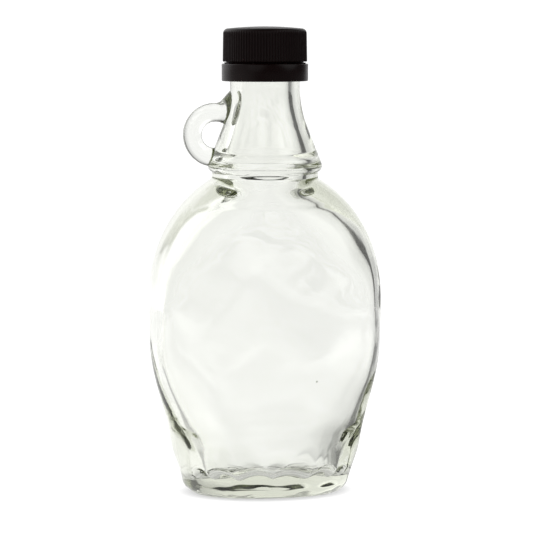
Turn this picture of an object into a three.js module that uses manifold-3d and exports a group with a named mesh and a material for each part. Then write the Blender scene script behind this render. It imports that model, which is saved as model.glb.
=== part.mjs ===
// Syrup bottle: a flat glass flask with a finger loop at the neck, a ribbed screw cap and its tamper band.
// Millimetres, +Z up. The bottle stands on Z = 0, its loop is toward -X and its front faces -Y.

import * as THREE from 'three';
import { LoftGeometry } from 'three/addons/geometries/LoftGeometry.js';
import { mergeVertices } from 'three/addons/utils/BufferGeometryUtils.js';
import Module from 'manifold-3d';

const wasm = await Module();
wasm.setup();

// Body: straight tapered foot, round flank, straight middle, elliptical shoulder
const BODY_HALF_WIDTH = 41.6;
const BODY_HALF_DEPTH = 23.5;
const FOOT_TAPER = THREE.MathUtils.degToRad(15);
const FRONT_TAPER = THREE.MathUtils.degToRad(3);
const FLANK_RADIUS = 86;
const FLANK_TOP_Z = 60;
const SHOULDER_Z = 70;
const SHOULDER_RISE = 47.7;
const FRONT_SHOULDER_Z = 85;
const FRONT_SHOULDER_RISE = 46.6;
const BODY_TOP_Z = 112.4;
const BODY_SQUARENESS = 2.4;
const ROUNDING_START_Z = 92;

// Foot: band that stands proud above the heel, bearing ring and pushed-up base
const FOOT_SWELL = 0.7;
const FOOT_SWELL_Z = 15.5;
const FOOT_SWELL_SPREAD = 6;
const FOOT_SWELL_TOP_Z = 27;
const HEEL_RADIUS = 4;
const BEARING_INSET = 4.5;
const BEARING_WIDTH = 2.5;
const PUSH_UP = 2;

// Neck: groove, bead and flare up to the straight finish
const GROOVE_RADIUS = 19;
const GROOVE_Z = 113;
const BEAD_RADIUS = 2.5;
const BEAD_CENTRE_RADIUS = 17.82;
const BEAD_Z = 116.83;
const BEAD_LOWER_ANGLE = THREE.MathUtils.degToRad(-65);
const NECK_RADIUS = 12.45;
const FLARE_ANGLE = THREE.MathUtils.degToRad(21.5);
const FLARE_ARC_RADIUS = 39.4;
const FLARE_TOP_Z = 144.8;
const LOCK_RING_RADIUS = 13.6;
const LOCK_RING_Z = 149.6;
const LOCK_RING_HEIGHT = 2.4;
const MOUTH_Z = 163.8;
const LIP_RADIUS = 1.2;

// Glass thickness: thin at the widest part, thicker toward the foot, the heel and the neck
const SIDE_WALL = 2.2;
const FRONT_WALL = 3;
const LOWER_EXTRA_WALL = 2.6;
const LOWER_EXTRA_BOTTOM_Z = 22;
const LOWER_EXTRA_TOP_Z = 56;
const HEEL_EXTRA_WALL = 1.8;
const HEEL_EXTRA_BOTTOM_Z = 15;
const HEEL_EXTRA_TOP_Z = 26;

// The hollow, which sits a little off the middle
const CAVITY_SHOULDER_Z = 63.7;
const CAVITY_RISE = 47;
const FRONT_CAVITY_RISE = 40;
const CAVITY_SHIFT = 0.8;
const CAVITY_SHIFT_TOP_Z = 112;
const CAVITY_TOP_ANGLE = 75;
const FLOOR_Z = 6.8;
const FLOOR_DOME = 1;
const INNER_HEEL_RADIUS = 4;
const MOUTH_BORE_RADIUS = 8.6;
const BORE_RADIUS = 8.35;
const BORE_FLARE = 0.75;
const BORE_FOOT_Z = 117.5;
const BORE_BLEND = 3;
const BEAD_SWELL = 1.2;
const BEAD_SWELL_Z = 117.6;
const BEAD_SWELL_HALF = 3;

// Label panels on the front and the back
const PANEL_SHARE = 0.94;
const PANEL_DEPTH = 0.35;
const PANEL_BOTTOM_Z = 21;
const PANEL_TOP_Z = 104;
const PANEL_CORNER = 5;
const PANEL_REACH = 60;

// Finger loop
const LOOP_X = -17.9;
const LOOP_Z = 127.8;
const LOOP_RADIUS = 7.96;
const LOOP_HALF_THICKNESS = 3.36;
const LOOP_HALF_DEPTH = 3.2;
const LOOP_TOP_ROOT_X = -11;
const LOOP_FLARE_START_X = -17.2;
const LOOP_FLARE = 3.6;
const LOOP_ROOT_LIFT = 1.3;
const LOOP_ROOT_BREADTH = 0.9;
const LOOP_FOOT_ROOT_X = -16.2;

// Cap and tamper band
const RIB_COUNT = 90;
const CAP_RADIUS = 14.95;
const CAP_DRAFT = 0.15;
const RIB_HEIGHT = 0.35;
const CAP_BOTTOM_Z = 153.6;
const CAP_TOP_Z = 166;
const CAP_EDGE_RADIUS = 1.8;
const CAP_DOME = 0.7;
const CAP_TOP_WALL = 1.7;
const CAP_BORE_RADIUS = 13.2;
const SLEEVE_RADIUS = 13.75;
const SLEEVE_BOTTOM_Z = 152;
const BAND_RADIUS = 15.35;
const BAND_BORE_RADIUS = 14.1;
const BAND_BOTTOM_Z = 146.7;
const BAND_TOP_Z = 152.9;
const BAND_EDGE_RADIUS = 0.4;
const BRIDGE_COUNT = 8;
const BRIDGE_SIZE = 0.8;
const BRIDGE_GAP = 0.3;

// Mesh fineness, with the spans of the round corners in degrees
const BODY_SIDES = 44;
const LOOP_SIDES = 16;
const LOOP_STEPS = 14;
const BAND_SIDES = 64;
const BORE_SIDES = 44;
const HEEL_SPAN = [20, 70];
const INNER_HEEL_SPAN = [25, 90];
const DOME_EDGE_SHARE = 0.9;
const FLOOR_RING_SHARE = 0.6;
const MERGE_DISTANCE = 1e-4;

const glass = new THREE.MeshStandardMaterial({ color: 0xdde4dc, roughness: 0.05, metalness: 0 });
const capPlastic = new THREE.MeshStandardMaterial({ color: 0x1b1716, roughness: 0.45, metalness: 0 });
const bandPlastic = new THREE.MeshStandardMaterial({ color: 0x171312, roughness: 0.3, metalness: 0 });

// Numbers from `start` to `end` in equal steps, both ends included
function spread(start, end, steps) {
  return Array.from({ length: steps + 1 }, (_, i) => start + ((end - start) * i) / steps);
}

// The larger of two values, rounded over where they cross
function softMax(a, b, blend) {
  const half = Math.max(blend - Math.abs(a - b), 0) / blend;
  return Math.max(a, b) + (half * half * blend) / 4;
}

function quarterEllipse(rise, reach, height) {
  return reach * Math.sqrt(Math.max(1 - (rise / height) ** 2, 0));
}

// How far the band above the heel stands proud of the taper
function footSwell(z) {
  return FOOT_SWELL * Math.exp(-(((z - FOOT_SWELL_Z) / FOOT_SWELL_SPREAD) ** 2));
}

// Half the body's width at height z, without the band above the heel
function halfWidth(z) {
  if (z > SHOULDER_Z) return quarterEllipse(z - SHOULDER_Z, BODY_HALF_WIDTH, SHOULDER_RISE);
  if (z > FLANK_TOP_Z) return BODY_HALF_WIDTH;
  const arcFoot = FLANK_RADIUS * Math.sin(FOOT_TAPER);
  const drop = Math.min(FLANK_TOP_Z - z, arcFoot);
  const onArc = BODY_HALF_WIDTH - FLANK_RADIUS + Math.sqrt(FLANK_RADIUS ** 2 - drop ** 2);
  return onArc - (FLANK_TOP_Z - z - drop) * Math.tan(FOOT_TAPER);
}

// Half the body's depth at height z, without the band above the heel
function halfDepth(z) {
  if (z > FRONT_SHOULDER_Z) {
    return quarterEllipse(z - FRONT_SHOULDER_Z, BODY_HALF_DEPTH, FRONT_SHOULDER_RISE);
  }
  return BODY_HALF_DEPTH - Math.max(FLANK_TOP_Z - z, 0) * Math.tan(FRONT_TAPER);
}

// Exponent of the section: 2 is an ellipse and more is squarer
function squareness(z, body) {
  return THREE.MathUtils.lerp(body, 2, THREE.MathUtils.smoothstep(z, ROUNDING_START_Z, BODY_TOP_Z));
}

// Outside radius of the neck's flare at height z: a cone, an arc, then straight up
function flareRadius(z) {
  const below = Math.max(FLARE_TOP_Z - z, 0);
  const onArc = Math.min(below, FLARE_ARC_RADIUS * Math.sin(FLARE_ANGLE));
  const arc = FLARE_ARC_RADIUS - Math.sqrt(FLARE_ARC_RADIUS ** 2 - onArc ** 2);
  return NECK_RADIUS + arc + (below - onArc) * Math.tan(FLARE_ANGLE);
}

// Radius of the bore at height z: it follows the flare and swells behind the bead
function boreRadius(z) {
  const spare = flareRadius(Math.max(z, BORE_FOOT_Z)) - NECK_RADIUS;
  const off = THREE.MathUtils.clamp((z - BEAD_SWELL_Z) / BEAD_SWELL_HALF, -1, 1);
  const swell = BEAD_SWELL * Math.cos((off * Math.PI) / 2);
  return BORE_RADIUS + BORE_FLARE * spare + swell;
}

// Superellipse ring, counterclockwise as seen from above
function ring({ z, width, depth, power, shift = 0 }, sides = BODY_SIDES) {
  return Array.from({ length: sides }, (_, i) => {
    const angle = (2 * Math.PI * i) / sides;
    const c = Math.cos(angle);
    const s = Math.sin(angle);
    const x = width * Math.sign(c) * Math.abs(c) ** (2 / power);
    const y = depth * Math.sign(s) * Math.abs(s) ** (2 / power);
    return new THREE.Vector3(x + shift, y, z);
  });
}

const roundRow = (radius, z) => ({ z, width: radius, depth: radius, power: 2 });

const bodyRow = (z, inset = 0) => ({
  z,
  width: halfWidth(z) + footSwell(z) - inset,
  depth: halfDepth(z) + footSwell(z) / 2 - inset,
  power: squareness(z, BODY_SQUARENESS),
});

// Underside: pushed-up centre, flat bearing ring and round heel
function baseRows() {
  const bearing = bodyRow(0, BEARING_INSET);
  const inner = bodyRow(0, BEARING_INSET + BEARING_WIDTH);
  const dome = spread(0, DOME_EDGE_SHARE, 2).map((k) => ({
    ...inner,
    z: PUSH_UP * (1 - k * k),
    width: inner.width * k,
    depth: inner.depth * k,
  }));
  const heel = spread(...HEEL_SPAN, 3).map((degrees) => {
    const angle = THREE.MathUtils.degToRad(degrees);
    const z = HEEL_RADIUS * (1 - Math.cos(angle));
    return bodyRow(z, BEARING_INSET * (1 - Math.sin(angle)));
  });
  return [...dome, inner, bearing, ...heel];
}

// Outside of the body from the heel to the groove
function bodyRows() {
  const topAngle = Math.asin((BODY_TOP_Z - SHOULDER_Z) / SHOULDER_RISE);
  const shoulder = spread(0, topAngle, 10).map((angle) => SHOULDER_Z + SHOULDER_RISE * Math.sin(angle));
  const foot = spread(HEEL_RADIUS, FOOT_SWELL_TOP_Z, 5);
  const flank = spread(FOOT_SWELL_TOP_Z, FLANK_TOP_Z, 4).slice(1);
  const heights = [...foot, ...flank, ...shoulder];
  return heights.map((z) => bodyRow(z));
}

// Groove, bead, flare and finish, up to the lip
function neckRows() {
  const bead = spread(BEAD_LOWER_ANGLE, FLARE_ANGLE, 5).map((angle) =>
    roundRow(BEAD_CENTRE_RADIUS + BEAD_RADIUS * Math.cos(angle), BEAD_Z + BEAD_RADIUS * Math.sin(angle)),
  );
  const flare = spread(FLARE_ANGLE, 0, 3).map((angle) =>
    roundRow(
      NECK_RADIUS + FLARE_ARC_RADIUS * (1 - Math.cos(angle)),
      FLARE_TOP_Z - FLARE_ARC_RADIUS * Math.sin(angle),
    ),
  );
  const lockRing = spread(-90, 90, 4).map((degrees) => {
    const angle = THREE.MathUtils.degToRad(degrees);
    const radius = NECK_RADIUS + (LOCK_RING_RADIUS - NECK_RADIUS) * Math.cos(angle);
    return roundRow(radius, LOCK_RING_Z + (LOCK_RING_HEIGHT / 2) * Math.sin(angle));
  });
  const lip = spread(0, 180, 4).map((degrees) => {
    const angle = THREE.MathUtils.degToRad(degrees);
    const middle = (NECK_RADIUS + MOUTH_BORE_RADIUS) / 2;
    const flat = (NECK_RADIUS - MOUTH_BORE_RADIUS) / 2 - LIP_RADIUS;
    const radius = middle + Math.sign(90 - degrees) * flat + LIP_RADIUS * Math.cos(angle);
    return roundRow(radius, MOUTH_Z - LIP_RADIUS + LIP_RADIUS * Math.sin(angle));
  });
  const groove = roundRow(GROOVE_RADIUS, GROOVE_Z);
  return [groove, ...bead, ...flare, ...lockRing, ...lip];
}

// How far z is below a range, from 0 at its top to 1 at its bottom
const under = (z, bottom, top) => 1 - THREE.MathUtils.smoothstep(z, bottom, top);

// Hollow at height z: the bore rounds out into the flat body
function hollowRow(z) {
  const bore = boreRadius(z);
  const lower = under(z, LOWER_EXTRA_BOTTOM_Z, LOWER_EXTRA_TOP_Z);
  const heel = under(z, HEEL_EXTRA_BOTTOM_Z, HEEL_EXTRA_TOP_Z);
  const width = z > CAVITY_SHOULDER_Z
    ? quarterEllipse(z - CAVITY_SHOULDER_Z, BODY_HALF_WIDTH - SIDE_WALL, CAVITY_RISE)
    : halfWidth(z) - SIDE_WALL - LOWER_EXTRA_WALL * lower - HEEL_EXTRA_WALL * heel;
  const depth = z > FRONT_SHOULDER_Z
    ? quarterEllipse(z - FRONT_SHOULDER_Z, BODY_HALF_DEPTH - FRONT_WALL, FRONT_CAVITY_RISE)
    : halfDepth(z) - FRONT_WALL;
  return {
    z,
    width: softMax(width, bore, BORE_BLEND),
    depth: softMax(depth, bore, BORE_BLEND),
    power: squareness(z, BODY_SQUARENESS),
    shift: CAVITY_SHIFT * under(z, ROUNDING_START_Z, CAVITY_SHIFT_TOP_Z),
  };
}

// Inside from the bore's top down to the floor's middle
function hollowRows() {
  const swellTop = BEAD_SWELL_Z + BEAD_SWELL_HALF;
  const swellFoot = BEAD_SWELL_Z - BEAD_SWELL_HALF;
  const ceiling = spread(CAVITY_TOP_ANGLE, 0, 9).map((degrees) => {
    const angle = THREE.MathUtils.degToRad(degrees);
    return CAVITY_SHOULDER_Z + CAVITY_RISE * Math.sin(angle);
  });
  const heights = [
    ...spread(FLARE_TOP_Z, swellTop, 3),
    ...spread(swellTop, swellFoot, 4).slice(1),
    ...ceiling,
    ...spread(LOWER_EXTRA_TOP_Z, HEEL_EXTRA_TOP_Z, 3),
    ...spread(HEEL_EXTRA_TOP_Z, FLOOR_Z + INNER_HEEL_RADIUS, 3).slice(1),
  ];
  const walls = heights.map(hollowRow);
  const foot = hollowRow(FLOOR_Z + INNER_HEEL_RADIUS);
  const heel = spread(...INNER_HEEL_SPAN, 3).map((degrees) => {
    const angle = THREE.MathUtils.degToRad(degrees);
    const inset = INNER_HEEL_RADIUS * (1 - Math.cos(angle));
    const z = FLOOR_Z + INNER_HEEL_RADIUS * (1 - Math.sin(angle));
    return { ...foot, z, width: foot.width - inset, depth: foot.depth - inset };
  });
  const floor = heel[heel.length - 1];
  const middle = spread(FLOOR_RING_SHARE, 0, 2).map((k) => ({
    ...floor,
    z: FLOOR_Z + FLOOR_DOME * (1 - k),
    width: floor.width * k,
    depth: floor.depth * k,
  }));
  return [...walls, ...heel, ...middle];
}

// Solid from a closed geometry: vertices merged and triangles that closed up at the poles left out
function solidFrom(geometry) {
  const bare = new THREE.BufferGeometry();
  bare.setAttribute('position', geometry.getAttribute('position'));
  bare.setIndex(geometry.index);
  const merged = mergeVertices(bare, MERGE_DISTANCE);
  const index = merged.index.array;
  const triangles = [];
  for (let i = 0; i < index.length; i += 3) {
    const [a, b, c] = index.slice(i, i + 3);
    if (a !== b && b !== c && c !== a) triangles.push(a, b, c);
  }
  const mesh = new wasm.Mesh({
    numProp: 3,
    vertProperties: new Float32Array(merged.attributes.position.array),
    triVerts: new Uint32Array(triangles),
  });
  return new wasm.Manifold(mesh);
}

function meshFrom(solid, name, material) {
  const { vertProperties, triVerts } = solid.getMesh();
  const geometry = new THREE.BufferGeometry();
  geometry.setAttribute('position', new THREE.Float32BufferAttribute(vertProperties, 3));
  geometry.setIndex(Array.from(triVerts));
  geometry.computeVertexNormals();
  const mesh = new THREE.Mesh(geometry, material);
  mesh.name = name;
  return mesh;
}

// What a panel cuts away on both faces: its outline through the body, less the body under the recess
function panelCut() {
  const cornerStart = PANEL_TOP_Z - PANEL_CORNER;
  const straight = spread(PANEL_BOTTOM_Z, cornerStart, 10);
  const rounded = spread(cornerStart, PANEL_TOP_Z, 4).slice(1);
  const right = [...straight, ...rounded].map((z) => {
    const corner = Math.max(z - cornerStart, 0);
    const roundedOff = PANEL_CORNER - Math.sqrt(PANEL_CORNER ** 2 - corner ** 2);
    return new THREE.Vector2(PANEL_SHARE * halfWidth(z) - roundedOff, z);
  });
  const left = right.map(({ x, y }) => new THREE.Vector2(-x, y)).reverse();
  const outline = new THREE.Shape([...right, ...left]);
  const prism = new THREE.ExtrudeGeometry(outline, { depth: PANEL_REACH, bevelEnabled: false });
  prism.rotateX(Math.PI / 2);
  prism.translate(0, PANEL_REACH / 2, 0);
  const recess = spread(PANEL_BOTTOM_Z - PANEL_CORNER, PANEL_TOP_Z + PANEL_CORNER, 12).map((z) => ({
    ...bodyRow(z),
    depth: halfDepth(z) + footSwell(z) / 2 - PANEL_DEPTH,
  }));
  const core = new LoftGeometry(recess.map((row) => ring(row)), { capStart: true, capEnd: true });
  return solidFrom(prism).subtract(solidFrom(core));
}

// Section of the loop: an ellipse square to the path, which turns in the XZ plane
function loopSection(x, z, turn, halfThickness, halfDepthHere = LOOP_HALF_DEPTH) {
  return Array.from({ length: LOOP_SIDES }, (_, i) => {
    const angle = (2 * Math.PI * i) / LOOP_SIDES;
    const out = halfThickness * Math.cos(angle);
    return new THREE.Vector3(
      x + out * Math.cos(turn),
      halfDepthHere * Math.sin(angle),
      z + out * Math.sin(turn),
    );
  });
}

// Finger loop: root at the top that flares and rises into the neck, half a turn, straight root in the bead
function fingerLoop() {
  const top = Math.PI / 2;
  const topRoot = spread(LOOP_TOP_ROOT_X, LOOP_X, 6).slice(0, -1).map((x) => {
    const reach = THREE.MathUtils.smoothstep(x, LOOP_FLARE_START_X, LOOP_TOP_ROOT_X);
    const z = LOOP_Z + LOOP_RADIUS + LOOP_ROOT_LIFT * reach;
    const breadth = LOOP_HALF_DEPTH + LOOP_ROOT_BREADTH * reach;
    return loopSection(x, z, top, LOOP_HALF_THICKNESS + LOOP_FLARE * reach, breadth);
  });
  const turns = spread(top, 3 * top, LOOP_STEPS).map((turn) =>
    loopSection(
      LOOP_X + LOOP_RADIUS * Math.cos(turn),
      LOOP_Z + LOOP_RADIUS * Math.sin(turn),
      turn,
      LOOP_HALF_THICKNESS,
    ),
  );
  const footRoot = loopSection(LOOP_FOOT_ROOT_X, LOOP_Z - LOOP_RADIUS, 3 * top, LOOP_HALF_THICKNESS);
  return solidFrom(new LoftGeometry([...topRoot, ...turns, footRoot], { capStart: true, capEnd: true }));
}

function bottle() {
  const rows = [...baseRows(), ...bodyRows(), ...neckRows(), ...hollowRows()];
  const flask = solidFrom(new LoftGeometry(rows.map((row) => ring(row))));
  return meshFrom(flask.subtract(panelCut()).add(fingerLoop()), 'bottle', glass);
}

// Ring of the cap's outside: a peak and a valley for each rib
function ribbedRing(radius, z, ribHeight) {
  const points = 2 * RIB_COUNT;
  return Array.from({ length: points }, (_, i) => {
    const angle = (2 * Math.PI * i) / points;
    const r = radius - (i % 2) * ribHeight;
    return new THREE.Vector3(r * Math.cos(angle), r * Math.sin(angle), z);
  });
}

// Upright cylinder between two heights
function upright(radius, bottom, top) {
  const cylinder = new THREE.CylinderGeometry(radius, radius, top - bottom, BORE_SIDES);
  cylinder.rotateX(Math.PI / 2);
  cylinder.translate(0, 0, (bottom + top) / 2);
  return solidFrom(cylinder);
}

// Screw cap: ribbed cup with a slightly domed top and a plain sleeve that reaches down inside the band
function cap() {
  const ribTop = CAP_TOP_Z - CAP_DOME - CAP_EDGE_RADIUS;
  const topRadius = CAP_RADIUS - CAP_DRAFT;
  const rimRadius = topRadius - RIB_HEIGHT / 2 - CAP_EDGE_RADIUS;
  const edge = spread(30, 90, 2).map((degrees) => {
    const angle = THREE.MathUtils.degToRad(degrees);
    const radius = rimRadius + CAP_EDGE_RADIUS * Math.cos(angle);
    return ribbedRing(radius, ribTop + CAP_EDGE_RADIUS * Math.sin(angle), 0);
  });
  const sections = [
    ribbedRing(0, CAP_BOTTOM_Z, 0),
    ribbedRing(CAP_RADIUS, CAP_BOTTOM_Z, RIB_HEIGHT),
    ribbedRing(topRadius, ribTop, RIB_HEIGHT),
    ...edge,
    ribbedRing(rimRadius / 2, CAP_TOP_Z - CAP_DOME / 4, 0),
    ribbedRing(0, CAP_TOP_Z, 0),
  ];
  const ceiling = CAP_TOP_Z - CAP_TOP_WALL;
  const sleeve = upright(SLEEVE_RADIUS, SLEEVE_BOTTOM_Z, ceiling);
  const hollow = upright(CAP_BORE_RADIUS, BAND_BOTTOM_Z, ceiling);
  const shell = solidFrom(new LoftGeometry(sections)).add(sleeve).subtract(hollow);
  return meshFrom(shell, 'cap', capPlastic);
}

// Tamper band: plain ring with the short bridges that tie it to the cap
function tamperBand() {
  const e = BAND_EDGE_RADIUS;
  const profile = [
    new THREE.Vector2(BAND_BORE_RADIUS, BAND_BOTTOM_Z),
    new THREE.Vector2(BAND_RADIUS - e, BAND_BOTTOM_Z),
    new THREE.Vector2(BAND_RADIUS, BAND_BOTTOM_Z + e),
    new THREE.Vector2(BAND_RADIUS, BAND_TOP_Z - e),
    new THREE.Vector2(BAND_RADIUS - e, BAND_TOP_Z),
    new THREE.Vector2(BAND_BORE_RADIUS, BAND_TOP_Z),
    new THREE.Vector2(BAND_BORE_RADIUS, BAND_BOTTOM_Z),
  ];
  const hoop = new THREE.LatheGeometry(profile, BAND_SIDES);
  hoop.rotateX(Math.PI / 2);
  let band = solidFrom(hoop);
  const bridgeTop = CAP_BOTTOM_Z - BRIDGE_GAP;
  const bridgeFoot = BAND_TOP_Z - BRIDGE_SIZE;
  for (let i = 0; i < BRIDGE_COUNT; i += 1) {
    const bridge = new THREE.BoxGeometry(BRIDGE_SIZE, BRIDGE_SIZE, bridgeTop - bridgeFoot);
    bridge.translate(BAND_BORE_RADIUS + BRIDGE_SIZE / 2, 0, (bridgeTop + bridgeFoot) / 2);
    bridge.rotateZ(((i + 0.5) * 2 * Math.PI) / BRIDGE_COUNT);
    band = band.add(solidFrom(bridge));
  }
  return meshFrom(band, 'tamper_band', bandPlastic);
}

const syrupBottle = new THREE.Group();
syrupBottle.add(bottle(), cap(), tamperBand());

export default syrupBottle;
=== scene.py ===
"""Looks of the empty glass syrup bottle: clear flask with a finger loop, black ribbed cap and band."""

import math

import bpy
import numpy as np
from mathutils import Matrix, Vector


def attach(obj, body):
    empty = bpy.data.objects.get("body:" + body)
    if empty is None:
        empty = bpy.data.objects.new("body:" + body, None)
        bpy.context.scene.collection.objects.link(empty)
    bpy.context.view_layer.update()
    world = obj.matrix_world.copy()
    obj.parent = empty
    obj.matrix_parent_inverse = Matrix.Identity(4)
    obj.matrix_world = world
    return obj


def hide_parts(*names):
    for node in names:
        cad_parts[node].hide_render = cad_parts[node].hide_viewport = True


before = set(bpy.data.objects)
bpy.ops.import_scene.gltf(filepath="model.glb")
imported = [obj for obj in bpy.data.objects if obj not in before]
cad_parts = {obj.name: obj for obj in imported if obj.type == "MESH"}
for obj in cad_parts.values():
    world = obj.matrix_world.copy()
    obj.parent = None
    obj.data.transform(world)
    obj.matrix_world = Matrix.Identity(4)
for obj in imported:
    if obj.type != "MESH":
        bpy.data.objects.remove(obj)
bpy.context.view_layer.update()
MM = 0.001

# Flask outside, in millimetres; a sweep is in degrees
BODY_HALF_WIDTH = 41.6
BODY_HALF_DEPTH = 23.5
FOOT_TAPER = math.radians(15)
FRONT_TAPER = math.radians(3)
FLANK_RADIUS = 86
FLANK_TOP_Z = 60
SHOULDER_Z = 70
SHOULDER_RISE = 47.7
FRONT_SHOULDER_Z = 85
FRONT_SHOULDER_RISE = 46.6
BODY_TOP_Z = 112.4
BODY_SQUARENESS = 2.4
ROUND_SQUARENESS = 2
ROUNDING_START_Z = 92
FOOT_SWELL = 0.7
FOOT_SWELL_Z = 15.5
FOOT_SWELL_SPREAD = 6
HEEL_RADIUS = 4
HEEL_SWEEP = (6, 84)
BEARING_INSET = 4.5
BEARING_WIDTH = 2.5
PUSH_UP = 2
GROOVE_RADIUS = 19
GROOVE_RANGE = (BODY_TOP_Z + 0.5, BODY_TOP_Z + 1.6)
BEAD_RADIUS = 2.5
BEAD_CENTRE_RADIUS = 17.82
BEAD_Z = 116.83
BEAD_LOWER_ANGLE = math.radians(-65)
NECK_RADIUS = 12.45
FLARE_ANGLE = math.radians(21.5)
FLARE_ARC_RADIUS = 39.4
FLARE_TOP_Z = 144.8
BARREL_FOOT_Z = FLARE_TOP_Z + 0.6
LOCK_RING_RADIUS = 13.6
LOCK_RING_Z = 149.6
LOCK_RING_HEIGHT = 2.4
LOCK_RING_CLEARANCE = 0.05
MOUTH_Z = 163.8
LIP_RADIUS = 1.2
LIP_CLEARANCE = 0.2

# Flask inside
SIDE_WALL = 2.2
FRONT_WALL = 3
CAVITY_SHOULDER_Z = 63.7
CAVITY_RISE = 47
FRONT_CAVITY_RISE = 40
CAVITY_NECK_Z = 100
CAVITY_SHIFT = 0.8
CAVITY_SHIFT_RANGE = (92, 112)
LOWER_EXTRA_WALL = 2.6
LOWER_EXTRA_RANGE = (22, 56)
HEEL_EXTRA_WALL = 1.8
HEEL_EXTRA_RANGE = (15, 26)
FLOOR_Z = 6.8
FLOOR_DOME = 1
INNER_HEEL_RADIUS = 4
INNER_HEEL_SWEEP = (5, 90)
INNER_SQUARENESS = 2.4
MOUTH_BORE_RADIUS = 8.6
BORE_RADIUS = 8.35
BORE_FLARE = 0.75
BORE_TOP_Z = MOUTH_Z - LIP_RADIUS - 1
BORE_FOOT_Z = 117.5
BORE_BEND_Z = BORE_FOOT_Z + 6
BORE_BLEND = 3
BEAD_SWELL = 1.2
BEAD_SWELL_Z = 117.6
BEAD_SWELL_HALF = 3

# Unevenness of the blown inside
WAVE_COUNT = 14
WALL_WAVE = 0.19
WALL_WAVE_LENGTHS = (12, 40)
WALL_WAVE_FOOT = (FLOOR_Z + 2, FLOOR_Z + 14)
WALL_WAVE_TOP = (100, 114)
WALL_WAVE_SEED = 3
FLOOR_WAVE = 0.12
FLOOR_WAVE_LENGTHS = (8, 16)
FLOOR_WAVE_TOP = (FLOOR_Z + 3, FLOOR_Z + 14)
FLOOR_WAVE_REACH = (0, 8)
FLOOR_WAVE_SEED = 8
LOBE_COUNT = 14
LOBE_HEIGHT = 1.5
LOBE_REACH = (4, 14)

# Unevenness of the moulded base
BASE_WAVE = 0.16
BASE_WAVE_LENGTHS = (6, 15)
BASE_WAVE_RANGE = (3, 9)
BASE_WAVE_SEED = 5
BASE_SIDE_RANGE = (0.2, 2)
BASE_LIFT_RANGE = (0, 1)
BASE_LEAST_REACH = 1

# Air seed in the front wall
SEED_PLACE = (15.8, -19.4, 41.9)
SEED_RADIUS = 0.3

# Label panels on the front and the back
PANEL_SHARE = 0.94
PANEL_DEPTH = 0.35
PANEL_EDGE = 2
PANEL_FOOT_EDGE = 5
PANEL_BOTTOM_Z = 21
PANEL_FOOT_RANGE = (PANEL_BOTTOM_Z - 0.5, PANEL_BOTTOM_Z + 2)
PANEL_TOP_Z = 104
PANEL_CORNER = 9
PANEL_END_BLEND = 1

# Finger loop
LOOP_X = -17.9
LOOP_Z = 127.8
LOOP_RADIUS = 7.96
LOOP_HALF_THICKNESS = 3.36
LOOP_HALF_DEPTH = 3.2
LOOP_TOP_ROOT_X = -11
LOOP_FLARE_START_X = -17.2
LOOP_FLARE = 3.6
LOOP_ROOT_LIFT = 1.3
LOOP_ROOT_BREADTH = 0.9
LOOP_FOOT_ROOT_X = -16.2

# Cap
RIB_COUNT = 90
RIB_HEIGHT = 0.35
RIB_FADE_BELOW_EDGE = 0.2
RIB_FADE_BELOW_RIM = 0.5
CAP_RADIUS = 14.95
CAP_DRAFT = 0.15
CAP_BOTTOM_Z = 153.6
CAP_FOOT_BEVEL = 0.2
CAP_FOOT_STEP = 0.25
CAP_TOP_Z = 166
CAP_EDGE_RADIUS = 1.8
CAP_DOME = 0.7
CAP_TOP_STEP = 1
CAP_TOP_WALL = 1.7
CAP_BORE_RADIUS = 13.2
CAP_BORE_BEVEL = 0.5
SLEEVE_RADIUS = 13.75
SLEEVE_BOTTOM_Z = 152
SLEEVE_BEVEL = 0.1
SLEEVE_ROOT_BEVEL = 0.05

# Tamper band and its bridges
BAND_RADIUS = 15.35
BAND_BORE_RADIUS = 14.1
BAND_BOTTOM_Z = 146.7
BAND_TOP_Z = 152.9
BAND_EDGE_RADIUS = 0.4
BAND_EDGE_MIDDLE = 0.3
BRIDGE_COUNT = 8
BRIDGE_SIZE = 0.8
BRIDGE_GAP = 0.3

# Camera: where the photograph was taken from
CAMERA_AZIMUTH = math.radians(-7)
CAMERA_DISTANCE = 850
CAMERA_HEIGHT = 163
CAMERA_PITCH = math.radians(5.55)
CAMERA_SIDE_STEP = 0.92
CAMERA_RANGE = 50000
FOCAL_PIXELS = 2394
PHOTO_PIXELS = 535
SENSOR_WIDTH = 36

# Studio: bright backdrop, half light at the far left, dim right side, camera side and ceiling
KEY_AZIMUTH = math.radians(-46)
KEY_ELEVATION = math.radians(-15)
HALF_FADE = (-0.05, 0.45)
HALF_SHARE = 0.66
DARK_FADE = (-0.18, -0.06)
# Painted shade on the floor's glow: fade of its dimming towards the right
FLOOR_DARK_FADE = (-0.35, 0.05)
DARK_SHARE = 0.16
FROM_LEFT_AZIMUTH = math.radians(60)
LEFT_FADE = (-0.63, -0.56)
LEFT_SHARE = 0.5
BACKDROP_LEVEL = 1.06
CEILING_FADE = (0.45, 0.9)
CEILING_SHARE = 0.3
GLASS_BOUNCES = 40

# Windows and softbox: azimuth, elevation, fade and level
FRONT_WINDOW = (math.radians(-150), math.radians(25), (0.90, 0.96), 0.5)
RIGHT_WINDOW = (math.radians(115), math.radians(35), (0.85, 0.95), 1.0)
LEFT_SOFTBOX = (math.radians(-48), math.radians(36), (0.74, 0.92), 0.35)

# Floor: a glowing sheet, white to the eye but for a painted contact shadow round the foot; a little grey
# and uneven as the glass shows it, from painted shade and painted grey patches in its glow; in metres
FLOOR_HALF = 12
FLOOR_ALBEDO = 0.3
FLOOR_ROUGHNESS = 0.7
FLOOR_GLOW = 1.06
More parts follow.
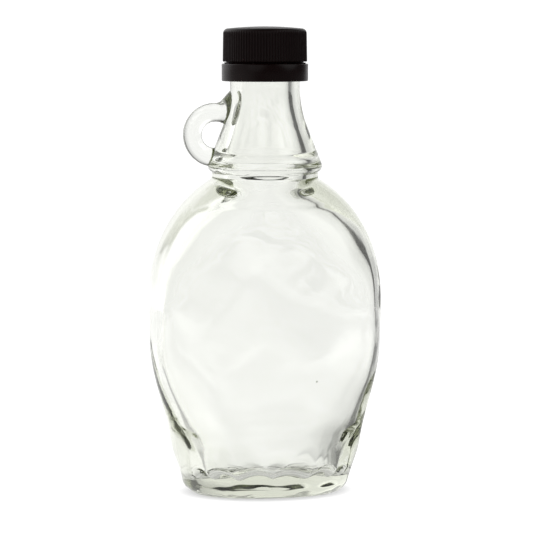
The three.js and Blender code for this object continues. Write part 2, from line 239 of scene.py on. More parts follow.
# Painted contact shadow: share of the glow left under the bottle's foot
CONTACT_SHADOW_GLOW = 0.58
NEAR_FADE = (0.035, 0.055)
FAR_FADE = (0.1, 1.2)
FAR_SHARE = 0.93
PATCH_SIZE = (0.07, 0.4, 1)
PATCH_DETAIL = 3
PATCH_DISTORTION = 0.6
PATCH_FADE = (0.35, 0.65)
PATCH_SHARE = 0.86
# Painted contact shadow: ellipse of the bottle's foot and the fade of the shadow out from it
CONTACT_SHADOW_HALF = (0.0285, 0.0204, 1)
CONTACT_SHADOW_FADE = (0.85, 1.25)

# Glass: ripples of its skin, haze and depth of colour, per metre
GLASS_COLOUR = (0.995, 1, 0.985, 1)
GLASS_IOR = 1.52
GLASS_DEPTH_COLOUR = (0.54, 0.57, 0.4, 1)
GLASS_DENSITY = 21
RIPPLE_SCALE = 70
RIPPLE_DETAIL = 2
RIPPLE_DISTORTION = 0.5
RIPPLE_STRENGTH = 1
RIPPLE_DEPTH = 0.00012
HAZE = 0.008
HAZE_FADE = (0.4, 0.75)

# Plastic of the cap and the band; each grain has a scale, a least and a most roughness and a depth
PLASTIC_COLOUR = (0.0095, 0.0025, 0.0024, 1)
PLASTIC_GLOSS = 0.2
GRAIN_DETAIL = 4
GRAIN_SPREAD = (0.3, 0.7)
GRAIN_STRENGTH = 0.5
CAP_GRAIN = (2500, 0.34, 0.46, 0.00002)
BAND_GRAIN = (1200, 0.22, 0.32, 0.00001)

# Mesh fineness: columns round a form and rows along each stretch of it
FLASK_COLUMNS = 228
COLUMN_CROWDING = 0.11
CROWDED_CORNERS = 4
DOME_ROWS = 12
HEEL_ROWS = 14
BODY_ROWS = (12, 10, 42, 34)
GROOVE_ROWS = 4
BEAD_ROWS = 18
CONE_ROWS = 16
FLARE_ROWS = 22
BARREL_ROWS = 5
LOCK_RING_ROWS = 12
LIP_ROWS = 14
HOLLOW_ROWS = (6, 14, 80, 36, 12, 10)
INNER_HEEL_ROWS = 14
FLOOR_ROWS = 16
LOOP_COLUMNS = 48
LOOP_ROOT_ROWS = 14
LOOP_TURN_ROWS = 60
LOOP_FOOT_ROWS = 5
SEED_COLUMNS = 20
SEED_ROWS = 14
RIB_COLUMNS = 10
CAP_SIDE_ROWS = 9
CAP_EDGE_ROWS = 12
CAP_TOP_ROWS = 6
BAND_COLUMNS = 256
BRIDGE_COLUMNS = 16


def smoothstep(x, low, high):
    t = np.clip((x - low) / (high - low), 0, 1)
    return t * t * (3 - 2 * t)


def soft_max(a, b, blend):
    half = np.maximum(blend - np.abs(a - b), 0) / blend
    return np.maximum(a, b) + half * half * blend / 4


def quarter_ellipse(rise, reach, height):
    return reach * np.sqrt(np.maximum(1 - (rise / height) ** 2, 0))


def full_turn(columns):
    return 2 * math.pi * np.arange(columns) / columns


def stretches(stations, counts):
    """Heights from station to station, with a count for each stretch. The last stretch has its end too."""
    starts, ends = stations[:-2], stations[1:-1]
    steps = [np.linspace(a, b, count, endpoint=False) for a, b, count in zip(starts, ends, counts)]
    return np.concatenate([*steps, np.linspace(stations[-2], stations[-1], counts[-1])])


def foot_swell(z):
    """How far the band above the heel stands proud of the taper."""
    return FOOT_SWELL * np.exp(-((z - FOOT_SWELL_Z) / FOOT_SWELL_SPREAD) ** 2)


def half_width(z):
    arc_foot = FLANK_RADIUS * math.sin(FOOT_TAPER)
    below = np.maximum(FLANK_TOP_Z - z, 0)
    drop = np.minimum(below, arc_foot)
    on_arc = BODY_HALF_WIDTH - FLANK_RADIUS + np.sqrt(FLANK_RADIUS ** 2 - drop ** 2)
    lower = on_arc - (below - drop) * math.tan(FOOT_TAPER) + foot_swell(z)
    upper = quarter_ellipse(z - SHOULDER_Z, BODY_HALF_WIDTH, SHOULDER_RISE)
    return np.where(z > SHOULDER_Z, upper, lower)


def half_depth(z):
    upper = quarter_ellipse(z - FRONT_SHOULDER_Z, BODY_HALF_DEPTH, FRONT_SHOULDER_RISE)
    below = np.maximum(FLANK_TOP_Z - z, 0)
    lower = BODY_HALF_DEPTH - below * math.tan(FRONT_TAPER) + foot_swell(z) / 2
    return np.where(z > FRONT_SHOULDER_Z, upper, lower)


def squareness(z, body):
    return body + (ROUND_SQUARENESS - body) * smoothstep(z, ROUNDING_START_Z, BODY_TOP_Z)


def flare_radius(z):
    """Radius of the neck's flare: straight above, an arc, then a straight cone down to the bead."""
    below = np.maximum(FLARE_TOP_Z - z, 0)
    on_arc = np.minimum(below, FLARE_ARC_RADIUS * math.sin(FLARE_ANGLE))
    arc = FLARE_ARC_RADIUS - np.sqrt(FLARE_ARC_RADIUS ** 2 - on_arc ** 2)
    return NECK_RADIUS + arc + (below - on_arc) * math.tan(FLARE_ANGLE)


def bore_radius(z):
    widening = MOUTH_BORE_RADIUS - BORE_RADIUS
    upper = BORE_RADIUS + widening * (z - FLARE_TOP_Z) / (MOUTH_Z - FLARE_TOP_Z)
    lower = BORE_RADIUS + BORE_FLARE * (flare_radius(np.maximum(z, BORE_FOOT_Z)) - NECK_RADIUS)
    off = np.clip((z - BEAD_SWELL_Z) / BEAD_SWELL_HALF, -1, 1)
    swell = BEAD_SWELL * np.cos(math.pi / 2 * off)
    return np.where(z > FLARE_TOP_Z, upper, lower + swell)


def rows_of(z, width, depth, power):
    """Rows of the flask's skin: height, half width, half depth and squareness, one line each."""
    z, width, depth, power = np.broadcast_arrays(z, width, depth, power)
    return np.stack([z, width, depth, power], axis=1).astype(float)


def body_rows_at(z, inset=0.0):
    z = np.asarray(z, float)
    return rows_of(z, half_width(z) - inset, half_depth(z) - inset, squareness(z, BODY_SQUARENESS))


def round_rows(radius, z):
    return rows_of(z, radius, radius, ROUND_SQUARENESS)


def base_rows():
    inner = body_rows_at([0.0], BEARING_INSET + BEARING_WIDTH)[0]
    k = np.linspace(0, 1, DOME_ROWS)
    dome = rows_of(PUSH_UP * (1 - k * k), inner[1] * k, inner[2] * k, inner[3])
    bearing = body_rows_at([0.0, 0.0], np.array([BEARING_INSET + BEARING_WIDTH / 2, BEARING_INSET]))
    angle = np.radians(np.linspace(*HEEL_SWEEP, HEEL_ROWS))
    heel = body_rows_at(HEEL_RADIUS * (1 - np.cos(angle)), BEARING_INSET * (1 - np.sin(angle)))
    return np.concatenate([dome, bearing, heel])


def body_rows():
    stations = (HEEL_RADIUS, *PANEL_FOOT_RANGE, PANEL_TOP_Z - PANEL_CORNER, BODY_TOP_Z)
    return body_rows_at(stretches(stations, BODY_ROWS))


def neck_rows():
    groove = round_rows(GROOVE_RADIUS, np.linspace(*GROOVE_RANGE, GROOVE_ROWS))
    turn = np.linspace(BEAD_LOWER_ANGLE, FLARE_ANGLE, BEAD_ROWS)
    bead_radius = BEAD_CENTRE_RADIUS + BEAD_RADIUS * np.cos(turn)
    bead = round_rows(bead_radius, BEAD_Z + BEAD_RADIUS * np.sin(turn))
    arc = np.linspace(FLARE_ANGLE, 0, FLARE_ROWS)
    arc_radius = NECK_RADIUS + FLARE_ARC_RADIUS * (1 - np.cos(arc))
    arc_z = FLARE_TOP_Z - FLARE_ARC_RADIUS * np.sin(arc)
    cone_z = np.linspace(bead[-1, 0], arc_z[0], CONE_ROWS)[1:-1]
    cone_radius = np.interp(cone_z, [bead[-1, 0], arc_z[0]], [bead[-1, 1], arc_radius[0]])
    cone = round_rows(cone_radius, cone_z)
    flare = round_rows(arc_radius, arc_z)
    ring_foot = LOCK_RING_Z - LOCK_RING_HEIGHT / 2
    below_z = np.linspace(BARREL_FOOT_Z, ring_foot - LOCK_RING_CLEARANCE, BARREL_ROWS)
    swell = np.linspace(-math.pi / 2, math.pi / 2, LOCK_RING_ROWS)
    lock_radius = NECK_RADIUS + (LOCK_RING_RADIUS - NECK_RADIUS) * np.cos(swell)
    lock_ring = round_rows(lock_radius, LOCK_RING_Z + LOCK_RING_HEIGHT / 2 * np.sin(swell))
    ring_top = ring_foot + LOCK_RING_HEIGHT
    lip_foot = MOUTH_Z - LIP_RADIUS
    above_z = np.linspace(ring_top + LOCK_RING_CLEARANCE, lip_foot - LIP_CLEARANCE, BARREL_ROWS)
    lip = np.linspace(0, math.pi, LIP_ROWS)
    middle = (NECK_RADIUS + MOUTH_BORE_RADIUS) / 2
    flat = (NECK_RADIUS - MOUTH_BORE_RADIUS) / 2 - LIP_RADIUS
    lip_radius = middle + np.sign(math.pi / 2 - lip) * flat + LIP_RADIUS * np.cos(lip)
    lip_rows = round_rows(lip_radius, lip_foot + LIP_RADIUS * np.sin(lip))
    below_ring = round_rows(NECK_RADIUS, below_z)
    above_ring = round_rows(NECK_RADIUS, above_z)
    return np.concatenate([groove, bead, cone, flare, below_ring, lock_ring, above_ring, lip_rows])


def hollow_rows_at(z):
    z = np.asarray(z, float)
    bore = bore_radius(z)
    lower = 1 - smoothstep(z, *LOWER_EXTRA_RANGE)
    heel = 1 - smoothstep(z, *HEEL_EXTRA_RANGE)
    side = half_width(z) - foot_swell(z) - SIDE_WALL - LOWER_EXTRA_WALL * lower - HEEL_EXTRA_WALL * heel
    ceiling = quarter_ellipse(z - CAVITY_SHOULDER_Z, BODY_HALF_WIDTH - SIDE_WALL, CAVITY_RISE)
    width = np.where(z > CAVITY_SHOULDER_Z, ceiling, side)
    front = half_depth(z) - foot_swell(z) / 2 - FRONT_WALL
    front_reach = BODY_HALF_DEPTH - FRONT_WALL
    front_ceiling = quarter_ellipse(z - FRONT_SHOULDER_Z, front_reach, FRONT_CAVITY_RISE)
    depth = np.where(z > FRONT_SHOULDER_Z, front_ceiling, front)
    return rows_of(
        z,
        soft_max(width, bore, BORE_BLEND),
        soft_max(depth, bore, BORE_BLEND),
        squareness(z, INNER_SQUARENESS),
    )


def hollow_rows():
    """Rows of the inside, from the mouth down to the middle of the floor."""
    foot_z = FLOOR_Z + INNER_HEEL_RADIUS
    stations = (BORE_TOP_Z, FLARE_TOP_Z, BORE_BEND_Z, CAVITY_NECK_Z, *HEEL_EXTRA_RANGE[::-1], foot_z)
    walls = hollow_rows_at(stretches(stations, HOLLOW_ROWS))
    foot = walls[-1]
    angle = np.radians(np.linspace(*INNER_HEEL_SWEEP, INNER_HEEL_ROWS))
    inset = INNER_HEEL_RADIUS * (1 - np.cos(angle))
    heel_z = FLOOR_Z + INNER_HEEL_RADIUS * (1 - np.sin(angle))
    heel = rows_of(heel_z, foot[1] - inset, foot[2] - inset, foot[3])
    k = np.linspace(1, 0, FLOOR_ROWS)[1:]
    floor = rows_of(FLOOR_Z + FLOOR_DOME * (1 - k * k), heel[-1, 1] * k, heel[-1, 2] * k, foot[3])
    return np.concatenate([walls, heel, floor])


def waves(points, seed, lengths):
    """Smooth unevenness in space: a sum of plane waves with seeded directions and lengths."""
    draw = np.random.default_rng(seed)
    total = np.zeros(points.shape[:2])
    for _ in range(WAVE_COUNT):
        heading = draw.normal(size=3)
        heading *= 2 * math.pi / (np.linalg.norm(heading) * draw.uniform(*lengths))
        total += np.sin(points @ heading + draw.uniform(0, 2 * math.pi))
    return total / math.sqrt(WAVE_COUNT / 2)


def uneven_inside(points):
    """Makes the blown inside of the flask a little wavy, and its floor lumpy."""
    z = points[..., 2]
    reach = np.linalg.norm(points[..., :2], axis=2)
    walls = smoothstep(z, *WALL_WAVE_FOOT) * (1 - smoothstep(z, *WALL_WAVE_TOP))
    floor = (1 - smoothstep(z, *FLOOR_WAVE_TOP)) * smoothstep(reach, *FLOOR_WAVE_REACH)
    push = WALL_WAVE * walls * waves(points, WALL_WAVE_SEED, WALL_WAVE_LENGTHS)
    around = np.arctan2(points[..., 1] * BODY_HALF_WIDTH, points[..., 0] * BODY_HALF_DEPTH)
    lobes = LOBE_HEIGHT * np.abs(np.cos(LOBE_COUNT / 2 * around)) * smoothstep(reach, *LOBE_REACH)
    lift = floor * (FLOOR_WAVE * waves(points, FLOOR_WAVE_SEED, FLOOR_WAVE_LENGTHS) + lobes)
    points[..., :2] *= (1 + push / reach)[..., None]
    points[..., 0] += CAVITY_SHIFT * (1 - smoothstep(z, *CAVITY_SHIFT_RANGE))
    points[..., 2] += lift
    return points


def uneven_base(points):
    """Makes the outside of the heel and of the pushed-up base lumpy; the bearing ring stays flat."""
    z = points[..., 2]
    reach = np.maximum(np.linalg.norm(points[..., :2], axis=2), BASE_LEAST_REACH)
    low = 1 - smoothstep(z, *BASE_WAVE_RANGE)
    lumps = BASE_WAVE * waves(points, BASE_WAVE_SEED, BASE_WAVE_LENGTHS) * low
    points[..., :2] *= (1 + lumps * smoothstep(z, *BASE_SIDE_RANGE) / reach)[..., None]
    points[..., 2] += np.abs(lumps) * smoothstep(z, *BASE_LIFT_RANGE)
    return points


def skin(rows, columns):
    """Points of a closed skin of superellipse rings, row by row."""
    even = full_turn(columns)
    angle = even + COLUMN_CROWDING * np.sin(CROWDED_CORNERS * even)
    c, s = np.cos(angle), np.sin(angle)
    power = 2 / rows[:, 3:4]
    x = rows[:, 1:2] * np.sign(c) * np.abs(c) ** power
    y = rows[:, 2:3] * np.sign(s) * np.abs(s) ** power
    z = np.broadcast_to(rows[:, 0:1], x.shape)
    return np.stack([x, y, z], axis=2)


def sink_panels(points):
    """Presses the label panels into the outside of the body."""
    x, y, z = points[..., 0], points[..., 1], points[..., 2]
    side = PANEL_SHARE * half_width(z) - np.abs(x)
    foot = (z - PANEL_BOTTOM_Z) * PANEL_EDGE / PANEL_FOOT_EDGE
    ends = -soft_max(z - PANEL_TOP_Z, -foot, PANEL_END_BLEND)
    inside = -soft_max(-side, -ends, PANEL_CORNER)
    points[..., 1] = y - np.sign(y) * PANEL_DEPTH * smoothstep(inside, 0, PANEL_EDGE)
    return points


def mesh_of_rings(name, points, close_start=None, close_end=None):
    """Mesh through rings of points, in millimetres. Pole points close the ends, or else the ends meet."""
    rows, columns = points.shape[:2]
    vertices = points.reshape(-1, 3).tolist()
    index = np.arange(rows * columns).reshape(rows, columns)
    ahead = np.roll(index, -1, axis=1)
    last = rows if close_start is None else rows - 1
    above, above_ahead = np.roll(index, -1, axis=0), np.roll(ahead, -1, axis=0)
    quads = np.stack([index, ahead, above_ahead, above], axis=2)[:last].reshape(-1, 4).tolist()
    for pole, ring, order in ((close_start, 0, -1), (close_end, rows - 1, 1)):
        if pole is None:
            continue
        vertices.append(list(pole))
        tip = len(vertices) - 1
        quads += [[int(a), int(b), tip][::order] for a, b in zip(index[ring], ahead[ring])]
    mesh = bpy.data.meshes.new(name)
    mesh.from_pydata([[v * MM for v in p] for p in vertices], [], quads)
    mesh.validate()
    mesh.shade_smooth()
    piece = bpy.data.objects.new(name, mesh)
    bpy.context.scene.collection.objects.link(piece)
    return piece


def capped(name, rings):
    """Mesh through rings of points, closed at the middle of the first and the last ring."""
    return mesh_of_rings(name, rings, rings[0].mean(0), rings[-1].mean(0))


def turned(radius, z, columns):
    angle = full_turn(columns)
    x = radius * np.cos(angle)
    y = radius * np.sin(angle)
    return np.stack([x, y, np.broadcast_to(z, x.shape)], axis=2)


def turned_profile(profile, columns):
    """Rings of a turned form from a list of radius and height."""
    profile = np.array(profile)
    return turned(profile[:, :1], profile[:, 1:], columns)


def join(piece, other, operation="UNION"):
    joining = piece.modifiers.new("join", "BOOLEAN")
    joining.operation = operation
    joining.solver = "MANIFOLD"
    joining.object = other
    graph = bpy.context.evaluated_depsgraph_get()
    joined = bpy.data.meshes.new_from_object(piece.evaluated_get(graph))
    piece.modifiers.clear()
    piece.data = joined
    bpy.data.objects.remove(other)


def loop_rings():
    """Rings of the finger loop: flared root in the neck, half a turn, straight root in the bead."""
    top, foot = math.pi / 2, 3 * math.pi / 2
    turn = np.concatenate([
        np.full(LOOP_ROOT_ROWS, top),
        np.linspace(top, foot, LOOP_TURN_ROWS),
        np.full(LOOP_FOOT_ROWS, foot),
    ])
    along = np.concatenate([
        np.linspace(LOOP_TOP_ROOT_X, LOOP_X, LOOP_ROOT_ROWS, endpoint=False),
        np.full(LOOP_TURN_ROWS, LOOP_X),
        np.linspace(LOOP_X, LOOP_FOOT_ROOT_X, LOOP_FOOT_ROWS + 1)[1:],
    ])
    reach = smoothstep(-along, -LOOP_FLARE_START_X, -LOOP_TOP_ROOT_X)
    reach[LOOP_ROOT_ROWS + LOOP_TURN_ROWS:] = 0
    half = LOOP_HALF_THICKNESS + LOOP_FLARE * reach
    angle = full_turn(LOOP_COLUMNS)
    out = half[:, None] * np.cos(angle)
    x = along[:, None] + (LOOP_RADIUS + out) * np.cos(turn)[:, None]
    z = LOOP_Z + (LOOP_RADIUS + out) * np.sin(turn)[:, None] + LOOP_ROOT_LIFT * reach[:, None]
    y = (LOOP_HALF_DEPTH + LOOP_ROOT_BREADTH * reach)[:, None] * np.sin(angle)
    return np.stack([x, y, z], axis=2)


def air_seed():
    """Tiny bubble caught in the glass."""
    rise = np.linspace(-math.pi / 2, math.pi / 2, SEED_ROWS)[1:-1, None]
    ball = turned(SEED_RADIUS * np.cos(rise), SEED_RADIUS * np.sin(rise), SEED_COLUMNS) + SEED_PLACE
    x, y, z = SEED_PLACE
    return mesh_of_rings("seed", ball, (x, y, z - SEED_RADIUS), (x, y, z + SEED_RADIUS))


def make_flask():
    outside = np.concatenate([base_rows()[1:], body_rows()])
    outer = uneven_base(sink_panels(skin(outside, FLASK_COLUMNS)))
    neck = skin(neck_rows(), FLASK_COLUMNS)
    hollow = uneven_inside(skin(hollow_rows()[:-1], FLASK_COLUMNS))
    points = np.concatenate([outer, neck, hollow])
    flask = mesh_of_rings("glass_flask", points, (0, 0, PUSH_UP), (0, 0, FLOOR_Z + FLOOR_DOME))
    join(flask, capped("loop", loop_rings()))
    join(flask, air_seed(), "DIFFERENCE")
    flask.data.shade_smooth()
    return flask


def make_cap():
    columns = RIB_COUNT * RIB_COLUMNS
    valley = 0.5 - 0.5 * np.cos(RIB_COUNT * full_turn(columns))
    edge = np.radians(np.linspace(0, 90, CAP_EDGE_ROWS))
    rim_z = CAP_TOP_Z - CAP_DOME
    rib_top = rim_z - CAP_EDGE_RADIUS
    z = np.concatenate([
        [CAP_BOTTOM_Z, CAP_BOTTOM_Z + CAP_FOOT_STEP],
        np.linspace(CAP_BOTTOM_Z + 2 * CAP_FOOT_STEP, rib_top, CAP_SIDE_ROWS, endpoint=False),
        rib_top + CAP_EDGE_RADIUS * np.sin(edge),
    ])
    radius = CAP_RADIUS - CAP_DRAFT * (np.minimum(z, rib_top) - CAP_BOTTOM_Z) / (rib_top - CAP_BOTTOM_Z)
    radius[0] -= CAP_FOOT_BEVEL
    radius[-CAP_EDGE_ROWS:] -= CAP_EDGE_RADIUS * (1 - np.cos(edge))
    fade = 1 - smoothstep(z, rib_top - RIB_FADE_BELOW_EDGE, rim_z - RIB_FADE_BELOW_RIM)
    outer = turned(radius[:, None] - RIB_HEIGHT * fade[:, None] * valley, z[:, None], columns)
    top_radius = np.linspace(radius[-1] - CAP_TOP_STEP, CAP_TOP_STEP, CAP_TOP_ROWS)[:, None]
    top = turned(top_radius, CAP_TOP_Z - CAP_DOME * (top_radius / radius[-1]) ** 2, columns)
    ceiling = CAP_TOP_Z - CAP_TOP_WALL
    inner = turned_profile([
        (CAP_BORE_RADIUS - CAP_BORE_BEVEL, ceiling),
        (CAP_BORE_RADIUS, ceiling - CAP_BORE_BEVEL),
        (CAP_BORE_RADIUS, SLEEVE_BOTTOM_Z + SLEEVE_BEVEL),
        (CAP_BORE_RADIUS + SLEEVE_BEVEL, SLEEVE_BOTTOM_Z),
        (SLEEVE_RADIUS - SLEEVE_BEVEL, SLEEVE_BOTTOM_Z),
        (SLEEVE_RADIUS, SLEEVE_BOTTOM_Z + SLEEVE_BEVEL),
        (SLEEVE_RADIUS, CAP_BOTTOM_Z - SLEEVE_ROOT_BEVEL),
        (SLEEVE_RADIUS + SLEEVE_ROOT_BEVEL, CAP_BOTTOM_Z),
    ], columns)
    points = np.concatenate([inner, outer, top])
    return mesh_of_rings("ribbed_cap", points, (0, 0, ceiling), (0, 0, CAP_TOP_Z))


def bridge(angle):
    """One of the short ties between the band and the cap."""
    turn = full_turn(BRIDGE_COLUMNS)
    half = BRIDGE_SIZE / 2
    z = np.array([BAND_TOP_Z - BRIDGE_SIZE, CAP_BOTTOM_Z - BRIDGE_GAP])
    c, s = np.cos(turn), np.sin(turn)
    along = BAND_BORE_RADIUS + half + half * np.sign(c) * np.sqrt(np.abs(c))
    across = half * np.sign(s) * np.sqrt(np.abs(s))
    x = along * math.cos(angle) - across * math.sin(angle)
    y = along * math.sin(angle) + across * math.cos(angle)
    return capped("bridge", np.stack(np.broadcast_arrays(x, y, z[:, None]), axis=2))


def make_band():
    edge = BAND_EDGE_RADIUS
    middle = BAND_EDGE_MIDDLE * BAND_EDGE_RADIUS
    rings = turned_profile([
        (BAND_BORE_RADIUS, BAND_TOP_Z),
        (BAND_BORE_RADIUS, BAND_BOTTOM_Z),
        (BAND_RADIUS - edge, BAND_BOTTOM_Z),
        (BAND_RADIUS - middle, BAND_BOTTOM_Z + middle),
        (BAND_RADIUS, BAND_BOTTOM_Z + edge),
        (BAND_RADIUS, BAND_TOP_Z - edge),
        (BAND_RADIUS - middle, BAND_TOP_Z - middle),
        (BAND_RADIUS - edge, BAND_TOP_Z),
    ], BAND_COLUMNS)
    band = mesh_of_rings("smooth_band", rings)
    for i in range(BRIDGE_COUNT):
        join(band, bridge(2 * math.pi * (i + 0.5) / BRIDGE_COUNT))
    band.data.shade_smooth()
    return band


def new_material(name):
    material = bpy.data.materials.new(name)
    material.use_nodes = True
    nodes = material.node_tree.nodes
    return material, nodes, material.node_tree.links, nodes["Principled BSDF"]


def noise_over(nodes, links, place, detail, distortion=0, scale=1):
    noise = nodes.new("ShaderNodeTexNoise")
    for socket, number in (("Scale", scale), ("Detail", detail), ("Distortion", distortion)):
        noise.inputs[socket].default_value = number
    links.new(place, noise.inputs["Vector"])
    return noise


def raise_surface(nodes, links, shader, height, strength, depth):
    bump = nodes.new("ShaderNodeBump")
    bump.inputs["Strength"].default_value = strength
    bump.inputs["Distance"].default_value = depth
    links.new(height, bump.inputs["Height"])
    links.new(bump.outputs["Normal"], shader.inputs["Normal"])


def clear_glass():
    material, nodes, links, shader = new_material("clear_glass")
    shader.inputs["Base Color"].default_value = GLASS_COLOUR
    shader.inputs["IOR"].default_value = GLASS_IOR
    shader.inputs["Transmission Weight"].default_value = 1
    place = nodes.new("ShaderNodeTexCoord").outputs["Object"]
    noise = noise_over(nodes, links, place, RIPPLE_DETAIL, RIPPLE_DISTORTION, RIPPLE_SCALE)
    ripple = noise.outputs["Fac"]
    links.new(ramp(nodes, links, ripple, HAZE_FADE, 0, HAZE), shader.inputs["Roughness"])
    raise_surface(nodes, links, shader, ripple, RIPPLE_STRENGTH, RIPPLE_DEPTH)
    absorption = nodes.new("ShaderNodeVolumeAbsorption")
    absorption.inputs["Color"].default_value = GLASS_DEPTH_COLOUR
    absorption.inputs["Density"].default_value = GLASS_DENSITY
    links.new(absorption.outputs["Volume"], nodes["Material Output"].inputs["Volume"])
    return material


def moulded_grain():
    """Node group: fine grain of moulded plastic, as a roughness and a bump height."""
    group = bpy.data.node_groups.new("moulded_grain", "ShaderNodeTree")
    for name, direction in (("Scale", "INPUT"), ("Smooth", "INPUT"), ("Rough", "INPUT"),
                            ("Roughness", "OUTPUT"), ("Height", "OUTPUT")):
        group.interface.new_socket(name=name, in_out=direction, socket_type="NodeSocketFloat")
    nodes, links = group.nodes, group.links
    start = nodes.new("NodeGroupInput")
    end = nodes.new("NodeGroupOutput")
    place = nodes.new("ShaderNodeTexCoord").outputs["Object"]
    noise = noise_over(nodes, links, place, GRAIN_DETAIL)
    links.new(start.outputs["Scale"], noise.inputs["Scale"])
    spread = nodes.new("ShaderNodeMapRange")
    links.new(noise.outputs["Fac"], spread.inputs["Value"])
    for socket, number in zip(("From Min", "From Max"), GRAIN_SPREAD):
        spread.inputs[socket].default_value = number
    links.new(start.outputs["Smooth"], spread.inputs["To Min"])
    links.new(start.outputs["Rough"], spread.inputs["To Max"])
    links.new(spread.outputs["Result"], end.inputs["Roughness"])
    links.new(noise.outputs["Fac"], end.inputs["Height"])
    return group


def black_plastic(name, grain, scale, smooth, rough, depth):
    material, nodes, links, shader = new_material(name)
    shader.inputs["Base Color"].default_value = PLASTIC_COLOUR
    shader.inputs["Specular IOR Level"].default_value = PLASTIC_GLOSS
    surface = nodes.new("ShaderNodeGroup")
    surface.node_tree = grain
    for socket, number in (("Scale", scale), ("Smooth", smooth), ("Rough", rough)):
        surface.inputs[socket].default_value = number
    links.new(surface.outputs["Roughness"], shader.inputs["Roughness"])
    raise_surface(nodes, links, shader, surface.outputs["Height"], GRAIN_STRENGTH, depth)
    return material


def dress(piece, node, material):
    piece.data.materials.clear()
    piece.data.materials.append(material)
    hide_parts(node)
    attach(piece, "root")


def aim(azimuth, elevation):
    """Direction by azimuth, measured from the back towards the right, and elevation."""
    level = math.cos(elevation)
    return Vector((math.sin(azimuth) * level, math.cos(azimuth) * level, math.sin(elevation)))


def facing(nodes, links, vector, axis, fade, low, high):
    """Strength that goes from low to high as a direction turns towards an axis."""
    dot = vector_math(nodes, links, "DOT_PRODUCT", vector, axis)
    return ramp(nodes, links, dot.outputs["Value"], fade, low, high)


def ramp(nodes, links, value, fade, low, high):
    node = nodes.new("ShaderNodeMapRange")
    node.interpolation_type = "SMOOTHSTEP"
    for socket, number in zip(("From Min", "From Max", "To Min", "To Max"), (*fade, low, high)):
        node.inputs[socket].default_value = number
    links.new(value, node.inputs["Value"])
    return node.outputs["Result"]


def arithmetic(nodes, links, operation, a, b):
    node = nodes.new("ShaderNodeMath")
    node.operation = operation
    links.new(a, node.inputs[0])
    links.new(b, node.inputs[1])
    return node.outputs["Value"]


def vector_math(nodes, links, operation, vector, other=None):
    node = nodes.new("ShaderNodeVectorMath")
    node.operation = operation
    links.new(vector, node.inputs[0])
    if other is not None:
        node.inputs[1].default_value = other
    return node


def side_light(nodes, links, heading, dark_fade):
    """Share of the light by heading: full at the left of the back, dim at the right and the far left. On
    the floor it is painted shade in the glow.
    """
    key = aim(KEY_AZIMUTH, KEY_ELEVATION)
    half = facing(nodes, links, heading, key, HALF_FADE, HALF_SHARE, 1)
    dark = facing(nodes, links, heading, key, dark_fade, DARK_SHARE, 1)
    left = facing(nodes, links, heading, aim(FROM_LEFT_AZIMUTH, 0), LEFT_FADE, LEFT_SHARE, 1)
    return arithmetic(nodes, links, "MULTIPLY", arithmetic(nodes, links, "MULTIPLY", half, dark), left)


def floor_glow(nodes, links):
    """Glow of the floor, painted light: even where the eye meets it but for a painted contact shadow under
    the foot, shaded by place with painted shade and painted grey patches where the glass shows it.
    """
    place = nodes.new("ShaderNodeTexCoord").outputs["Object"]
    distance = vector_math(nodes, links, "LENGTH", place).outputs["Value"]
    heading = vector_math(nodes, links, "NORMALIZE", place).outputs["Vector"]
    # Painted light and shade in the glow seen through the glass: a bright ring round the bottle, dim to
    # the right and the far left beyond it as a painted shadow of the bottle, a little dimmer far off, and
    # painted grey patches
    near = ramp(nodes, links, distance, NEAR_FADE, 1, 0)
    painted_side_shade = side_light(nodes, links, heading, FLOOR_DARK_FADE)
    far = ramp(nodes, links, distance, FAR_FADE, 1, FAR_SHARE)
    patch_place = vector_math(nodes, links, "DIVIDE", place, PATCH_SIZE).outputs["Vector"]
    noise = noise_over(nodes, links, patch_place, PATCH_DETAIL, PATCH_DISTORTION)
    patches = ramp(nodes, links, noise.outputs["Fac"], PATCH_FADE, PATCH_SHARE, 1)
    shaded = arithmetic(nodes, links, "MULTIPLY", arithmetic(nodes, links, "MAXIMUM", near, painted_side_shade), far)
    shaded = arithmetic(nodes, links, "MULTIPLY", shaded, patches)
    eye = nodes.new("ShaderNodeLightPath").outputs["Is Camera Ray"]
    glow = arithmetic(nodes, links, "MAXIMUM", shaded, eye)
    # Painted contact shadow: the glow dims under the bottle's foot, for the eye as well as through the
    # glass
    reach = vector_math(nodes, links, "DIVIDE", place, CONTACT_SHADOW_HALF).outputs["Vector"]
    reach = vector_math(nodes, links, "LENGTH", reach).outputs["Value"]
    painted_contact_shadow = ramp(nodes, links, reach, CONTACT_SHADOW_FADE, CONTACT_SHADOW_GLOW, FLOOR_GLOW)
    return arithmetic(nodes, links, "MULTIPLY", glow, painted_contact_shadow)


def make_floor():
    """Pale sheet under the bottle, glowing with painted light."""
    mesh = bpy.data.meshes.new("floor")
    corners = [(sx * FLOOR_HALF, sy * FLOOR_HALF, 0) for sx, sy in ((-1, -1), (1, -1), (1, 1), (-1, 1))]
    mesh.from_pydata(corners, [], [(0, 1, 2, 3)])
    floor = bpy.data.objects.new("floor", mesh)
    bpy.context.scene.collection.objects.link(floor)
    material, nodes, links, shader = new_material("pale_floor")
    shader.inputs["Base Color"].default_value = (FLOOR_ALBEDO, FLOOR_ALBEDO, FLOOR_ALBEDO, 1)
    shader.inputs["Roughness"].default_value = FLOOR_ROUGHNESS
    shader.inputs["Specular IOR Level"].default_value = 0
    # Painted light: the floor glows white, its strength from floor_glow
    shader.inputs["Emission Color"].default_value = (1, 1, 1, 1)
    links.new(floor_glow(nodes, links), shader.inputs["Emission Strength"])
    mesh.materials.append(material)


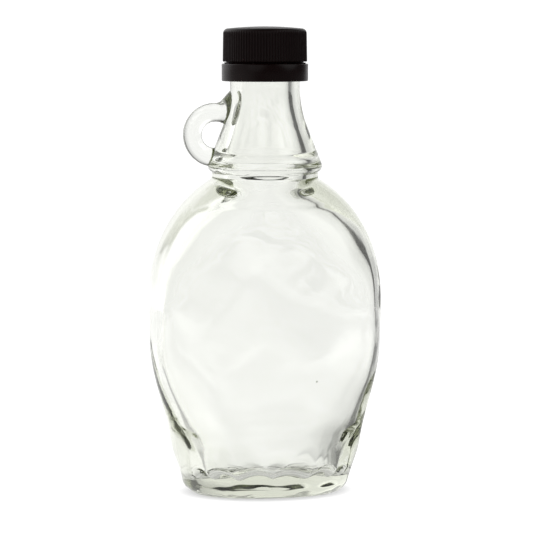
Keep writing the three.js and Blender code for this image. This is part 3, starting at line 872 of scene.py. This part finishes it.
def studio():
    """Light of the surroundings: white to the eye, shaded by direction where the glass shows it."""
    world = bpy.data.worlds.new("studio")
    bpy.context.scene.world = world
    world.use_nodes = True
    nodes, links = world.node_tree.nodes, world.node_tree.links
    where = nodes.new("ShaderNodeTexCoord").outputs["Generated"]
    backdrop = side_light(nodes, links, where, DARK_FADE)
    ceiling_level = BACKDROP_LEVEL * CEILING_SHARE
    ceiling = facing(nodes, links, where, (0, 0, 1), CEILING_FADE, BACKDROP_LEVEL, ceiling_level)
    light = arithmetic(nodes, links, "MULTIPLY", backdrop, ceiling)
    for azimuth, elevation, fade, level in (FRONT_WINDOW, RIGHT_WINDOW, LEFT_SOFTBOX):
        window = facing(nodes, links, where, aim(azimuth, elevation), fade, 0, level)
        light = arithmetic(nodes, links, "ADD", light, window)
    eye = nodes.new("ShaderNodeLightPath").outputs["Is Camera Ray"]
    nodes["Background"].inputs["Color"].default_value = (1, 1, 1, 1)
    links.new(arithmetic(nodes, links, "MAXIMUM", light, eye), nodes["Background"].inputs["Strength"])


def make_camera():
    camera = bpy.data.cameras.new("camera")
    camera.sensor_width = SENSOR_WIDTH
    camera.lens = FOCAL_PIXELS / PHOTO_PIXELS * SENSOR_WIDTH
    camera.clip_end = CAMERA_RANGE * MM
    eye = bpy.data.objects.new("camera", camera)
    bpy.context.scene.collection.objects.link(eye)
    a = CAMERA_AZIMUTH
    right = Vector((math.cos(a), math.sin(a), 0))
    place = Vector((math.sin(a), -math.cos(a), 0)) * CAMERA_DISTANCE + right * CAMERA_SIDE_STEP
    place.z = CAMERA_HEIGHT
    eye.location = place * MM
    eye.rotation_euler = (math.pi / 2 - CAMERA_PITCH, 0, a)
    bpy.context.scene.camera = eye


def main():
    scene = bpy.context.scene
    scene.view_settings.view_transform = "Standard"
    scene.cycles.max_bounces = GLASS_BOUNCES
    scene.cycles.transmission_bounces = GLASS_BOUNCES
    scene.cycles.glossy_bounces = GLASS_BOUNCES
    dress(make_flask(), "bottle", clear_glass())
    grain = moulded_grain()
    cap_plastic = black_plastic("cap_plastic", grain, *CAP_GRAIN)
    band_plastic = black_plastic("band_plastic", grain, *BAND_GRAIN)
    dress(make_cap(), "cap", cap_plastic)
    dress(make_band(), "tamper_band", band_plastic)
    make_floor()
    studio()
    make_camera()


main()
